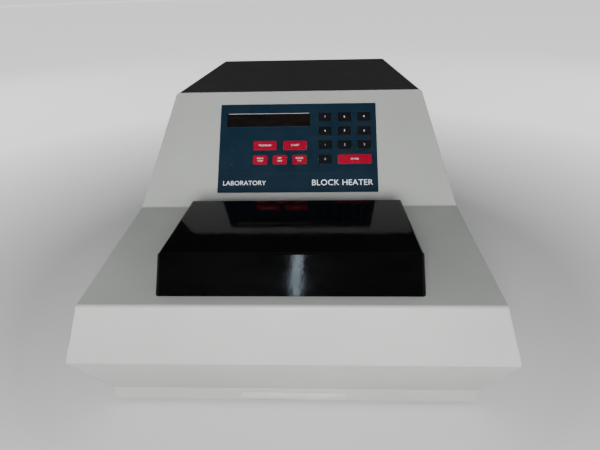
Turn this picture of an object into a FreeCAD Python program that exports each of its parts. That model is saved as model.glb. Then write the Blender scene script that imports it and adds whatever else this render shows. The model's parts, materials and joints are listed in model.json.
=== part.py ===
import FreeCAD, Part
import math
import os
import re
import Sketcher

# Dry block heater: a facetted bench console. A hollow grey tray carries a grey front console
# (front face, level deck, sloped key panel) and a black rear hood. Two lift-out tube blocks
# stand on a heater plate in an insulated chamber under a hinged black lid.
# Millimetres. +X to the user's right, -Y towards the user, +Z up.
# Origin: centre of the footprint, at the underside of the feet.

DRIVING_SIZES = {
    "case_depth": 460.0, "wall": 2.5, "foot_height": 4.0, "foot_radius": 10.0,
    "foot_x": 122.0, "foot_y": 178.0, "rear_flange": 2.2, "floor_level": 4.0,
    "plinth_top": 17.0, "belt_level": 69.0, "deck_level": 111.4, "panel_length": 123.2,
    "panel_angle": 48.8, "front_lean": 10.6, "deck_rear": 168.9, "belt_front": 159.4,
    "belt_middle": 168.4, "belt_rear": 155.0, "side_draft": 17.5, "plinth_inset": 12.8,
    "plinth_setback": 28.4, "bend_radius": 3.0, "seam_gap": 0.4,
    "chamber_y": -146.0, "block_width": 76.0, "block_depth": 95.0, "block_bottom": 56.3,
    "block_top": 107.0, "block_gap": 1.2, "well_radius": 5.6, "well_depth": 38.0,
    "well_pitch": 20.0, "chamber_half_x": 79.0, "chamber_half_y": 49.7, "liner_wall": 1.2,
    "plate_bottom": 48.0, "plate_top": 56.0, "mat_bottom": 46.0, "jacket_bottom": 36.0,
    "jacket_top": 107.0, "jacket_wall": 8.6,
    "lid_half": 94.8, "lid_front": -208.6, "lid_crease": -190.8, "lid_back_top": -87.4,
    "lid_back": -79.0, "lid_bottom": 111.8, "lid_front_top": 136.5, "lid_rear_top": 130.2,
    "lid_wall": 2.5, "lid_round": 3.0, "hinge_y": -72.5, "hinge_z": 117.4, "hinge_x": 60.0,
    "knuckle_radius": 3.6, "pin_radius": 1.5, "pin_clearance": 0.06,
    "keypad_width": 157.0, "keypad_height": 94.3, "keypad_centre": 61.2,
    "overlay_thickness": 1.0, "key_clearance": 0.4, "key_lift": 0.6, "key_thickness": 1.0,
    "digit_width": 13.7, "key_height": 9.6, "digit_pitch": 19.45, "row_pitch": 15.1,
    "digit_column": 27.3, "first_row": 31.9, "window_width": 84.0, "window_height": 14.4,
    "window_x": -29.7, "window_up": 29.8, "circuit_thickness": 2.0,
    "inlet_x": 80.0, "inlet_z": 102.0, "switch_x": 30.0, "reset_x": 122.0,
    "fan_x": -62.0, "fan_z": 122.0, "fan_size": 80.0, "fan_depth": 25.0,
    "chassis_thickness": 1.5, "screw_head_radius": 3.2, "screw_head_height": 1.8,
    "screw_radius": 1.5, "screw_hole_radius": 1.7, "label_half": 42.0, "label_thickness": 0.5,
    "vent_start": 70.0, "vent_pitch": 16.0, "vent_width": 5.0, "vent_low": 96.0,
    "vent_high": 140.0, "led_x": -65.3, "led_radius": 1.2, "led_upper": -2.2,
    "led_lower": -18.2, "probe_radius": 2.0, "probe_depth": 30.0, "cutout_x": 40.0,
    "cutout_radius": 8.0, "bracket_x": 70.0, "rocker_width": 14.2, "rocker_axis": 3.4,
    "rocker_pivot_radius": 1.5, "hub_radius": 15.0, "guard_wire": 1.0, "lug_half": 8.0,
    "ear_thickness": 4.0, "pin_length": 26.0, "board_width": 166.0, "board_height": 86.0,
    "board_depth": 24.0, "post_radius": 3.0, "block_chamfer": 1.0,
}

KEY_GRID = {
    "key_7": (0, 0), "key_8": (1, 0), "key_9": (2, 0), "key_4": (0, 1), "key_5": (1, 1),
    "key_6": (2, 1), "key_1": (0, 2), "key_2": (1, 2), "key_3": (2, 2), "key_0": (0, 3),
}
# name: (centre across the keypad, row, width)
WIDE_KEYS = {
    "key_enter": (56.4, 3, 33.0), "key_upper_left": (-32.6, 2, 23.4),
    "key_upper_right": (-2.7, 2, 23.4), "key_lower_left": (-37.2, 3, 14.0),
    "key_lower_middle": (-17.7, 3, 14.0), "key_lower_right": (1.9, 3, 14.0),
}
WELL_COLUMNS = 3
WELL_ROWS = 4
VENT_COUNT = 7
BLADE_COUNT = 7
FIN_COUNT = 9
LED_PLACES = ("led_upper", "led_lower")
GUARD_RADII = ("14", "22", "30", "38")

doc = FreeCAD.newDocument("dry_block_heater")
sheet = doc.addObject("Spreadsheet::Sheet", "dims")
nodes = {}


def fill_sheet():
    for row, (name, size) in enumerate(DRIVING_SIZES.items(), start=1):
        sheet.set("A%d" % row, name)
        sheet.set("B%d" % row, str(size))
        sheet.setAlias("B%d" % row, name)
    doc.recompute()


DERIVED = {
    "front": "-case_depth / 2", "back": "case_depth / 2 - rear_flange",
    "deck_front": "-case_depth / 2 + front_lean", "bend": "-case_depth / 2 + deck_rear",
    "seam": "-case_depth / 2 + deck_rear + panel_length * cos(panel_angle)",
    "top": "deck_level + panel_length * sin(panel_angle)",
    "taper": "tan(side_draft)",
}


def text_of(expression):
    """Write derived names out in full, so that every size hangs on the sheet alone."""
    text = str(expression)
    for name, meaning in DERIVED.items():
        text = re.sub(r"\b%s\b" % name, "(%s)" % meaning, text)
    return re.sub(r"[a-z]\w*", sheet_name, text)


def sheet_name(match):
    word = match.group()
    return "dims." + word if word in DRIVING_SIZES else word


def value(expression):
    return float(sheet.evalExpression(text_of(expression)))


def bind(obj, sizes):
    for prop, expression in sizes.items():
        obj.setExpression(prop, text_of(expression))
    return obj


def place(obj, x, y, z, rotation=None):
    """Set the turn first, then bind the three coordinates to the sheet."""
    if rotation is not None:
        obj.Placement = FreeCAD.Placement(FreeCAD.Vector(), rotation)
    return bind(obj, {"Placement.Base.x": x, "Placement.Base.y": y, "Placement.Base.z": z})


def keep(obj, node):
    obj.Label = node
    nodes[node] = obj
    return obj


def box(name, size, corner, rotation=None):
    obj = doc.addObject("Part::Box", name)
    bind(obj, dict(zip(("Length", "Width", "Height"), size)))
    return place(obj, *corner, rotation=rotation)


def slab(name, x_range, y_range, z_range):
    """A box between two limits on each axis."""
    size = ["(%s) - (%s)" % (high, low) for low, high in (x_range, y_range, z_range)]
    return box(name, size, (x_range[0], y_range[0], z_range[0]))


def rod(name, radius, length, start, axis="z"):
    turns = {"z": FreeCAD.Rotation(), "x": FreeCAD.Rotation(FreeCAD.Vector(0, 1, 0), 90),
             "y": FreeCAD.Rotation(FreeCAD.Vector(1, 0, 0), -90)}
    obj = doc.addObject("Part::Cylinder", name)
    bind(obj, {"Radius": radius, "Height": length})
    return place(obj, *start, rotation=turns[axis])


def join(name, pieces):
    obj = doc.addObject("Part::MultiFuse", name)
    obj.Shapes = pieces
    return obj


def group(name, pieces):
    """Like pieces that stay separate solids in one node."""
    obj = doc.addObject("Part::Compound", name)
    obj.Links = pieces
    return obj


def cut(name, base, tools):
    obj = doc.addObject("Part::Cut", name)
    obj.Base = base
    obj.Tool = tools[0] if len(tools) == 1 else join(name + "_tools", tools)
    return obj


def plane_of(body, role):
    return next(item for item in body.Origin.OriginFeatures if item.Role == role)


def outline(body, name, role, corners, offset="0"):
    """A closed polygon whose every corner is bound to the sheet."""
    sketch = body.newObject("Sketcher::SketchObject", name)
    sketch.AttachmentSupport = [(plane_of(body, role), "")]
    sketch.MapMode = "FlatFace"
    bind(sketch, {"AttachmentOffset.Base.z": offset})
    points = [FreeCAD.Vector(value(u), value(v), 0) for u, v in corners]
    for index, point in enumerate(points):
        following = points[(index + 1) % len(points)]
        sketch.addGeometry(Part.LineSegment(point, following), False)
    for index in range(len(points)):
        following = (index + 1) % len(points)
        sketch.addConstraint(Sketcher.Constraint("Coincident", index, 2, following, 1))
    for index, (u, v) in enumerate(corners):
        for kind, expression in (("DistanceX", u), ("DistanceY", v)):
            number = sketch.addConstraint(
                Sketcher.Constraint(kind, -1, 1, index, 1, value(expression)))
            sketch.setExpression("Constraints[%d]" % number, text_of(expression))
    return sketch


def pad_outline(name, role, corners, length, offset="0", midplane=False):
    """A body of one padded polygon."""
    body = new_body(name)
    pad = body.newObject("PartDesign::Pad", name + "_pad")
    pad.Profile = outline(body, name + "_outline", role, corners, offset)
    pad.Midplane = midplane
    bind(pad, {"Length": length})
    body.Tip = pad
    doc.recompute()
    return body


def lofted(name, role, sections):
    """A body ruled between polygons that stand at different distances from one plane."""
    body = new_body(name)
    sketches = [outline(body, "%s_%d" % (name, number), role, corners, offset)
                for number, (corners, offset) in enumerate(sections)]
    loft = body.newObject("PartDesign::AdditiveLoft", name + "_loft")
    loft.Profile = sketches[0]
    loft.Sections = sketches[1:]
    loft.Ruled = True
    body.Tip = loft
    doc.recompute()
    return body


def inset(corners, open_sides=()):
    """Step every side of a polygon inwards by the wall, except the open ones."""
    points = [(value(u), value(v)) for u, v in corners]
    count = len(points)
    area = sum(points[i][0] * points[(i + 1) % count][1] - points[(i + 1) % count][0] * points[i][1]
               for i in range(count))
    turn = 1 if area > 0 else -1
    normals = []
    for index in range(count):
        (u1, v1), (u2, v2) = points[index], points[(index + 1) % count]
        size = math.hypot(u2 - u1, v2 - v1)
        normals.append((-turn * (v2 - v1) / size, turn * (u2 - u1) / size))
    moved = []
    for index, (u, v) in enumerate(corners):
        before = (index - 1) % count
        (a1, b1), (a2, b2) = normals[before], normals[index]
        step1 = 0 if before in open_sides else 1
        step2 = 0 if index in open_sides else 1
        spread = a1 * b2 - a2 * b1
        along_u = (step1 * b2 - step2 * b1) / spread
        along_v = (a1 * step2 - a2 * step1) / spread
        moved.append(("%s + %.5f * wall" % (u, along_u), "%s + %.5f * wall" % (v, along_v)))
    return moved


def common(name, pieces):
    obj = doc.addObject("Part::MultiCommon", name)
    obj.Shapes = pieces
    return obj


def round_edges(body, name, radius, test):
    base = body.Tip
    edges = ["Edge%d" % number for number, edge in enumerate(base.Shape.Edges, start=1)
             if test(edge)]
    feature = body.newObject("PartDesign::Fillet", name)
    feature.Base = (base, edges)
    bind(feature, {"Radius": radius})
    body.Tip = feature
    doc.recompute()
    return feature


def new_body(name):
    return doc.addObject("PartDesign::Body", name)


def mirrored_corners(pairs):
    """A polygon that is symmetric about the middle: right side upwards, then left."""
    right = [(half, other) for half, other in pairs]
    left = [("-(%s)" % half, other) for half, other in reversed(pairs)]
    return right + left


# ---------------------------------------------------------------- housing

def make_base_tray():
    low = mirrored_corners([
        ("belt_front - plinth_inset", "front + plinth_setback"),
        ("belt_middle - plinth_inset", "seam"), ("belt_rear - plinth_inset", "back")])
    belt = mirrored_corners([("belt_front", "front"), ("belt_middle", "seam"),
                             ("belt_rear", "back")])
    flare = lofted("flare", "XY_Plane", [(low, "plinth_top"), (belt, "belt_level")])
    plinth = pad_outline("plinth", "XY_Plane", low, "plinth_top - floor_level", "floor_level")
    flare_inside = lofted("flare_inside", "XY_Plane", [(inset(low), "plinth_top"),
                                                       (inset(belt), "belt_level")])
    plinth_inside = pad_outline("plinth_inside", "XY_Plane", inset(low),
                                "plinth_top - floor_level - wall", "floor_level + wall")
    holes = [rod("floor_hole", "screw_hole_radius", "10", (x, y, "floor_level - 4"))
             for x, y in base_screw_places()]
    solid = join("tray_solid", [flare, plinth])
    keep(cut("base_tray", solid, [flare_inside, plinth_inside] + holes), "base_tray")


def base_screw_places():
    return [(x, y) for y in ("-150", "20", "190") for x in ("-100", "100")]


def drafted_section(low_half):
    top_half = "%s - (top - belt_level) * taper" % low_half
    return mirrored_corners([(low_half, "belt_level"), (top_half, "top")])


BOTTOM_OF_SECTION = 3


def make_front_console():
    sections = [(drafted_section("belt_front"), "-(front)"),
                (drafted_section("belt_middle"), "-(seam)")]
    inner_sections = [(inset(corners, (BOTTOM_OF_SECTION,)), offset)
                      for corners, offset in sections]
    profile = [("front", "belt_level"), ("deck_front", "deck_level"), ("bend", "deck_level"),
               ("seam", "top"), ("seam", "belt_level")]
    outer_prism = pad_outline("console_profile", "YZ_Plane", profile, "400", midplane=True)
    deck_level = value("deck_level")

    def is_bend(edge):
        return (edge.BoundBox.XLength > 300
                and abs(edge.CenterOfMass.z - deck_level) < 0.01)

    round_edges(outer_prism, "bends", "bend_radius", is_bend)
    seam_side, belt_side = 3, 4
    inner_prism = pad_outline("console_hollow", "YZ_Plane", inset(profile, (seam_side, belt_side)),
                              "400", midplane=True)
    solid = common("console_solid", [lofted("console_sides", "XZ_Plane", sections), outer_prism])
    hollow = common("console_inside",
                    [lofted("console_inner_sides", "XZ_Plane", inner_sections), inner_prism])
    tools = [
        hollow,
        slab("deck_opening", ("-chamber_half_x - 0.5", "chamber_half_x + 0.5"),
             ("chamber_y - chamber_half_y - 0.5", "chamber_y + chamber_half_y + 0.5"),
             ("deck_level - 10", "deck_level + 10")),
        panel_box("panel_opening", 0, "keypad_centre", "keypad_width - 9",
                  "keypad_height - 9", "-10", "10"),
    ]
    keep(cut("front_console", solid, tools), "front_console")


def panel_box(name, x, up, width, height, low, high):
    """A box on the key panel: centred at x and up the slope, between two depths along its normal."""
    size = ("%s" % width, "%s" % height, "(%s) - (%s)" % (high, low))
    left = "(%s) - (%s) / 2" % (x, width)
    start = "((%s) - (%s) / 2)" % (up, height)
    y = "bend + %s * cos(panel_angle) - (%s) * sin(panel_angle)" % (start, low)
    z = "deck_level + %s * sin(panel_angle) + (%s) * cos(panel_angle)" % (start, low)
    turn = FreeCAD.Rotation(FreeCAD.Vector(1, 0, 0), value("panel_angle"))
    return box(name, size, (left, y, z), rotation=turn)


def panel_rod(name, radius, x, up, low, high):
    y = "bend + (%s) * cos(panel_angle) - (%s) * sin(panel_angle)" % (up, low)
    z = "deck_level + (%s) * sin(panel_angle) + (%s) * cos(panel_angle)" % (up, low)
    obj = doc.addObject("Part::Cylinder", name)
    bind(obj, {"Radius": radius, "Height": "(%s) - (%s)" % (high, low)})
    turn = FreeCAD.Rotation(FreeCAD.Vector(1, 0, 0), value("panel_angle"))
    return place(obj, x, y, z, rotation=turn)


def make_rear_hood():
    sections = [(drafted_section("belt_middle"), "-(seam + seam_gap)"),
                (drafted_section("belt_rear"), "-(back)")]
    inner_sections = [(inset(sections[0][0], (BOTTOM_OF_SECTION,)), "-(seam + seam_gap)"),
                      (inset(sections[1][0], (BOTTOM_OF_SECTION,)), "-(back - wall)")]
    solid = lofted("hood_solid", "XZ_Plane", sections)
    tools = [
        lofted("hood_inside", "XZ_Plane", inner_sections),
        rod("fan_opening", "fan_size / 2 - 3", "12", ("fan_x", "back - 6", "fan_z"), "y"),
        slab("inlet_opening", ("inlet_x - 14", "inlet_x + 14"), ("back - 6", "back + 6"),
             ("inlet_z - 24", "inlet_z + 24")),
        slab("switch_opening", ("switch_x - 9.7", "switch_x + 9.7"), ("back - 6", "back + 6"),
             ("inlet_z - 13.7", "inlet_z + 13.7")),
        rod("reset_opening", "4.2", "12", ("reset_x", "back - 6", "inlet_z"), "y"),
    ]
    for x, z in hood_screw_places():
        tools.append(rod("hood_hole", "screw_hole_radius", "12", (x, "back - 6", z), "y"))
    for side in (-1, 1):
        for number in range(VENT_COUNT):
            y = "vent_start + %d * vent_pitch" % number
            tools.append(slab("vent", sorted_range(side, "105", "180"), (y, y + " + vent_width"),
                              ("vent_low", "vent_high")))
    keep(cut("rear_hood", solid, tools), "rear_hood")


def sorted_range(side, near, far):
    return (near, far) if side > 0 else ("-" + far, "-" + near)


def hood_screw_places():
    return [(x, z) for z in ("78", "180") for x in ("-108", "108")]


def make_feet_and_screws():
    feet = [rod("foot", "foot_radius", "foot_height", (x, y, "0"))
            for y in ("-foot_y", "foot_y + 22") for x in ("-foot_x", "foot_x")]
    keep(group("rubber_feet", feet), "rubber_feet")
    screws = []
    for x, y in base_screw_places():
        head = rod("head", "screw_head_radius", "screw_head_height",
                   (x, y, "floor_level - screw_head_height"))
        shank = rod("shank", "screw_radius", "5", (x, y, "floor_level - 1"))
        screws.append(join("base_screw", [head, shank]))
    for x, z in hood_screw_places():
        head = rod("head", "screw_head_radius", "screw_head_height", (x, "back", z), "y")
        shank = rod("shank", "screw_radius", "7", (x, "back - 6", z), "y")
        screws.append(join("hood_screw", [head, shank]))
    keep(group("case_screws", screws), "case_screws")


def make_label_strip():
    """A thin blank plate stuck to the front of the plinth."""
    strip = slab("blank_label", ("-label_half", "label_half"),
                 ("front + plinth_setback - label_thickness", "front + plinth_setback"),
                 ("floor_level + 4", "plinth_top - 4"))
    keep(strip, "blank_label")


def make_chassis_plate():
    plate = slab("plate", ("-130", "130"), ("-186", "214"),
                 ("floor_level + wall", "floor_level + wall + chassis_thickness"))
    holes = [rod("plate_hole", "screw_radius + 0.05", "10", (x, y, "floor_level"))
             for x, y in base_screw_places()]
    keep(cut("chassis_plate", plate, holes), "chassis_plate")


# ---------------------------------------------------------------- heated chamber

def make_chamber():
    liner_outer = slab("liner_outer", ("-chamber_half_x", "chamber_half_x"),
                       ("chamber_y - chamber_half_y", "chamber_y + chamber_half_y"),
                       ("plate_top", "deck_level"))
    flange = slab("liner_flange", ("-chamber_half_x - 7", "chamber_half_x + 7"),
                  ("chamber_y - chamber_half_y - 6.5", "chamber_y + chamber_half_y + 6.5"),
                  ("deck_level", "deck_level + liner_wall"))
    inside = slab("liner_inside",
                  ("-chamber_half_x + liner_wall", "chamber_half_x - liner_wall"),
                  ("chamber_y - chamber_half_y + liner_wall",
                   "chamber_y + chamber_half_y - liner_wall"),
                  ("plate_top - 5", "deck_level + 5"))
    keep(cut("chamber_liner", join("liner_solid", [liner_outer, flange]), [inside]),
         "chamber_liner")
    make_insulation()
    plate = slab("heater_block", ("-chamber_half_x", "chamber_half_x"),
                 ("chamber_y - chamber_half_y", "chamber_y + chamber_half_y"),
                 ("plate_bottom", "plate_top"))
    bore = rod("probe_bore", "probe_radius", "probe_depth + 1",
               ("0", "chamber_y + chamber_half_y - probe_depth", "plate_bottom + 4"), "y")
    keep(cut("heater_plate", plate, [bore]), "heater_plate")
    mat = slab("heater_mat", ("-chamber_half_x + 3", "chamber_half_x - 3"),
               ("chamber_y - chamber_half_y + 3", "chamber_y + chamber_half_y - 3"),
               ("mat_bottom", "plate_bottom"))
    keep(mat, "heater_mat")
    probe = rod("temperature_probe", "probe_radius", "probe_depth + 14",
                ("0", "chamber_y + chamber_half_y - probe_depth", "plate_bottom + 4"), "y")
    keep(probe, "temperature_probe")
    can = rod("cutout_can", "cutout_radius", "6", ("cutout_x", "chamber_y", "mat_bottom - 6"))
    rim = rod("cutout_rim", "cutout_radius + 1", "1", ("cutout_x", "chamber_y", "mat_bottom - 1"))
    keep(join("cutout_solid", [can, rim]), "overheat_cutout")
    make_chamber_brackets()


def make_insulation():
    outer = slab("jacket_outer",
                 ("-chamber_half_x - jacket_wall", "chamber_half_x + jacket_wall"),
                 ("chamber_y - chamber_half_y - jacket_wall",
                  "chamber_y + chamber_half_y + jacket_wall"),
                 ("jacket_bottom", "jacket_top"))
    inside = slab("jacket_inside", ("-chamber_half_x - 0.3", "chamber_half_x + 0.3"),
                  ("chamber_y - chamber_half_y - 0.3", "chamber_y + chamber_half_y + 0.3"),
                  ("mat_bottom", "jacket_top + 5"))
    probe_way = rod("probe_way", "probe_radius + 0.6", "30",
                    ("0", "chamber_y + chamber_half_y - 5", "plate_bottom + 4"), "y")
    can_way = rod("can_way", "cutout_radius + 1.5", "8",
                  ("cutout_x", "chamber_y", "mat_bottom - 7"))
    keep(cut("chamber_insulation", outer, [inside, probe_way, can_way]), "chamber_insulation")


def make_chamber_brackets():
    brackets = []
    low = "floor_level + wall + chassis_thickness"
    for side in (-1, 1):
        web = "%d * bracket_x" % side
        pieces = [
            slab("bracket_web", (web + " - 1", web + " + 1"), ("-190", "-100"),
                 (low, "jacket_bottom")),
            slab("bracket_top", (web + " - 10", web + " + 10"), ("-190", "-100"),
                 ("jacket_bottom - 2", "jacket_bottom")),
            slab("bracket_foot", (web + " - 10", web + " + 10"), ("-180", "-110"),
                 (low, low + " + 2")),
        ]
        brackets.append(join("bracket", pieces))
    keep(group("chamber_brackets", brackets), "chamber_brackets")


def make_tube_block(node, side):
    """A metal block with rows of blind tube wells and a shallow chamfer on each mouth."""
    near = "block_gap / 2"
    x_range = ("%s" % near, "%s + block_width" % near)
    if side < 0:
        x_range = ("-(%s) - block_width" % near, "-(%s)" % near)
    middle = "%d * (block_gap / 2 + block_width / 2)" % side
    solid = slab("block_solid", x_range,
                 ("chamber_y - block_depth / 2", "chamber_y + block_depth / 2"),
                 ("block_bottom", "block_top"))
    tools = []
    for column in range(WELL_COLUMNS):
        for row in range(WELL_ROWS):
            x = "%s + %g * well_pitch" % (middle, column - (WELL_COLUMNS - 1) / 2)
            y = "chamber_y + %g * well_pitch" % (row - (WELL_ROWS - 1) / 2)
            tools.append(rod("well", "well_radius", "well_depth + 1",
                             (x, y, "block_top - well_depth")))
            mouth = doc.addObject("Part::Cone", "well_mouth")
            bind(mouth, {"Radius1": "well_radius", "Radius2": "well_radius + block_chamfer",
                         "Height": "block_chamfer"})
            tools.append(place(mouth, x, y, "block_top - block_chamfer"))
    keep(cut(node, solid, tools), node)


# ---------------------------------------------------------------- lid

def make_lid():
    profile = [("lid_front", "lid_bottom"), ("lid_back", "lid_bottom"),
               ("lid_back_top", "lid_rear_top"), ("lid_crease", "lid_front_top")]
    body = pad_outline("lid_solid", "YZ_Plane", profile, "2 * lid_half", midplane=True)
    hollow = pad_outline("lid_hollow", "YZ_Plane", inset(profile, (0,)),
                         "2 * (lid_half - wall)", midplane=True)
    half = value("lid_half")
    ends = (value("lid_front_top"), value("lid_rear_top"))

    def is_end_edge(edge):
        middle = edge.CenterOfMass
        along_top = abs(middle.x) > half - 0.01 and middle.z > sum(ends) / 2 - 0.5
        return along_top and edge.BoundBox.YLength > 50

    def is_corner(edge):
        middle = edge.CenterOfMass
        return (abs(middle.x) > half - 0.01 and middle.y < value("lid_crease")
                and 15 < edge.BoundBox.ZLength)

    round_edges(body, "lid_rounds", "lid_round", lambda edge: is_end_edge(edge) or is_corner(edge))
    lugs = []
    for side in (-1, 1):
        x = "%d * hinge_x" % side
        arm = slab("lug_arm", (x + " - lug_half", x + " + lug_half"),
                   ("lid_back - 4.2", "hinge_y"), ("hinge_z - 2", "hinge_z + 2"))
        barrel = rod("lug_barrel", "knuckle_radius", "2 * lug_half",
                     (x + " - lug_half", "hinge_y", "hinge_z"), "x")
        lugs += [arm, barrel]
    bores = [rod("lug_bore", "pin_radius + pin_clearance", "20",
                 ("%d * hinge_x - 10" % side, "hinge_y", "hinge_z"), "x") for side in (-1, 1)]
    shell = cut("lid_shell", body, [hollow])
    keep(cut("lid", join("lid_with_lugs", [shell] + lugs), bores), "lid")
    make_lid_pad()


def make_lid_pad():
    """A foam sheet under the top of the lid, parallel to it."""
    slope = math.degrees(math.atan2(value("lid_rear_top - lid_front_top"),
                                    value("lid_back_top - lid_crease")))
    pad = box("lid_pad", ("2 * lid_half - 30", "86", "4"),
              ("-lid_half + 15", "lid_crease + 8", "lid_front_top - lid_wall - 4.7"),
              rotation=FreeCAD.Rotation(FreeCAD.Vector(1, 0, 0), slope))
    keep(pad, "lid_pad")


def make_hinges():
    brackets = []
    pins = []
    for side in (-1, 1):
        x = "%d * hinge_x" % side
        pieces = [slab("hinge_base", (x + " - 14", x + " + 14"),
                       ("hinge_y - knuckle_radius", "hinge_y + 7"),
                       ("deck_level", "deck_level + 1.5"))]
        for ear in ("- lug_half - 0.5 - ear_thickness", "+ lug_half + 0.5"):
            start = "%s %s" % (x, ear)
            pieces.append(slab("ear_foot", (start, start + " + ear_thickness"),
                               ("hinge_y - knuckle_radius", "hinge_y + knuckle_radius"),
                               ("deck_level + 1", "hinge_z")))
            pieces.append(rod("ear_round", "knuckle_radius", "ear_thickness",
                              (start, "hinge_y", "hinge_z"), "x"))
        bore = rod("ear_bore", "pin_radius", "40", (x + " - 20", "hinge_y", "hinge_z"), "x")
        brackets.append(cut("hinge_bracket", join("bracket_solid", pieces), [bore]))
        pins.append(rod("hinge_pin", "pin_radius", "pin_length",
                        (x + " - pin_length / 2", "hinge_y", "hinge_z"), "x"))
    keep(group("hinge_brackets", brackets), "hinge_brackets")
    keep(group("hinge_pins", pins), "hinge_pins")


# ---------------------------------------------------------------- keypad and electronics

def key_places():
    places = {}
    for name, (column, row) in KEY_GRID.items():
        places[name] = ("digit_column + %d * digit_pitch" % column, row_height(row), "digit_width")
    for name, (x, row, width) in WIDE_KEYS.items():
        places[name] = ("%g" % x, row_height(row), "%g" % width)
    return places


def row_height(row):
    return "keypad_centre + first_row - %d * row_pitch" % row


def make_keypad():
    overlay = panel_box("overlay_sheet", 0, "keypad_centre", "keypad_width", "keypad_height",
                        "0", "overlay_thickness")
    tools = [panel_box("overlay_window", "window_x", "keypad_centre + window_up",
                       "window_width", "window_height", "-1", "3")]
    for name, (x, up, width) in key_places().items():
        tools.append(panel_box("key_hole", x, up, "%s + 2 * key_clearance" % width,
                               "key_height + 2 * key_clearance", "-1", "3"))
        key = panel_box(name + "_pad", x, up, width, "key_height",
                        "overlay_thickness + key_lift - key_thickness",
                        "overlay_thickness + key_lift")
        keep(key, name)
    for up in LED_PLACES:
        tools.append(panel_rod("led_hole", "led_radius + 0.1", "led_x", "keypad_centre + " + up,
                               "-1", "3"))
    keep(cut("keypad_overlay", overlay, tools), "keypad_overlay")
    circuit = panel_box("circuit_sheet", 0, "keypad_centre", "keypad_width - 9.6",
                        "keypad_height - 9.6", "-circuit_thickness", "0")
    ways = [panel_box("circuit_window", "window_x", "keypad_centre + window_up",
                      "window_width - 2", "window_height - 2", "-9", "9")]
    for up in LED_PLACES:
        ways.append(panel_rod("led_way", "led_radius + 0.1", "led_x", "keypad_centre + " + up,
                              "-9", "9"))
    keep(cut("keypad_circuit", circuit, ways), "keypad_circuit")
    window = panel_box("display_window", "window_x", "keypad_centre + window_up",
                       "window_width - 0.2", "window_height - 0.2", "0.1", "0.8")
    keep(window, "display_window")
    leds = [panel_rod("status_led", "led_radius", "led_x", "keypad_centre + " + up,
                      "-circuit_thickness", "overlay_thickness + 0.3")
            for up in LED_PLACES]
    keep(group("status_leds", leds), "status_leds")


def make_electronics():
    glass = panel_box("display_glass", "window_x", "keypad_centre + window_up",
                      "window_width + 4", "window_height + 8", "-9", "-circuit_thickness")
    board = panel_box("display_board", "window_x", "keypad_centre + window_up",
                      "window_width + 7", "window_height + 10", "-10.6", "-9")
    keep(join("display_module", [glass, board]), "display_module")
    pieces = [panel_box("board_sheet", 0, "keypad_centre", "board_width", "board_height",
                        "-board_depth - 1.6", "-board_depth")]
    for x, up, width, height, depth in (
            (-30, 10, 38, 14, 4), (20, 12, 26, 26, 4), (-50, -20, 18, 12, 8),
            (10, -22, 30, 10, 5), (52, -18, 14, 14, 12)):
        pieces.append(panel_box("chip", x, "keypad_centre + %d" % up, width, height,
                                "-board_depth - 1.6 - %d" % depth, "-board_depth - 1.6"))
    keep(join("control_board", pieces), "control_board")
    posts = [panel_rod("post", "post_radius", x + "(board_width / 2 - 4)",
                       "keypad_centre " + up + "(board_height / 2 - 7)", "-board_depth", "-wall")
             for x in ("-", "") for up in ("-", "+")]
    ribbon = panel_box("ribbon_cable", 30, "keypad_centre - 30", "34", "0.9", "-board_depth",
                       "-circuit_thickness")
    keep(ribbon, "ribbon_cable")
    keep(group("board_posts", posts + make_power_parts()), "board_posts")


def make_power_parts():
    """The mains side, on the chassis plate; gives back its board posts."""
    floor = "floor_level + wall + chassis_thickness"
    core = slab("core", ("32", "108"), ("86", "122"), (floor + " + 2", floor + " + 66"))
    coil = slab("coil", ("44", "96"), ("76", "132"), (floor + " + 12", floor + " + 56"))
    foot = slab("transformer_foot", ("22", "118"), ("92", "116"), (floor, floor + " + 2"))
    keep(join("transformer", [core, coil, foot]), "transformer")
    base = slab("sink_base", ("-112", "-32"), ("60", "66"), (floor, floor + " + 60"))
    fins = [slab("fin", ("%g" % (-112 + 9.7 * index), "%g + 2" % (-112 + 9.7 * index)),
                 ("66", "84"), (floor, floor + " + 60")) for index in range(FIN_COUNT)]
    keep(join("heat_sink", [base] + fins), "heat_sink")
    switch = slab("heater_triac", ("-80", "-64"), ("55.4", "60"), (floor + " + 22", floor + " + 42"))
    keep(switch, "heater_triac")
    sheet_low = floor + " + 8"
    pieces = [slab("power_sheet", ("-110", "10"), ("104", "184"), (sheet_low, sheet_low + " + 1.6"))]
    for x, y, width, depth, height in ((-100, 112, 28, 16, 16), (-60, 112, 20, 30, 20),
                                       (-24, 114, 24, 14, 12), (-98, 150, 34, 14, 10)):
        pieces.append(slab("component", ("%d" % x, "%d" % (x + width)),
                           ("%d" % y, "%d" % (y + depth)),
                           (sheet_low + " + 1.6", "%s + 1.6 + %d" % (sheet_low, height))))
    for x in ("-44", "-22"):
        pieces.append(rod("capacitor", "9", "26", (x, "164", sheet_low + " + 1.6")))
    keep(join("power_board", pieces), "power_board")
    return [rod("power_post", "post_radius", "8", (x, y, floor))
            for x in ("-104", "4") for y in ("110", "178")]


# ---------------------------------------------------------------- rear panel

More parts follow.
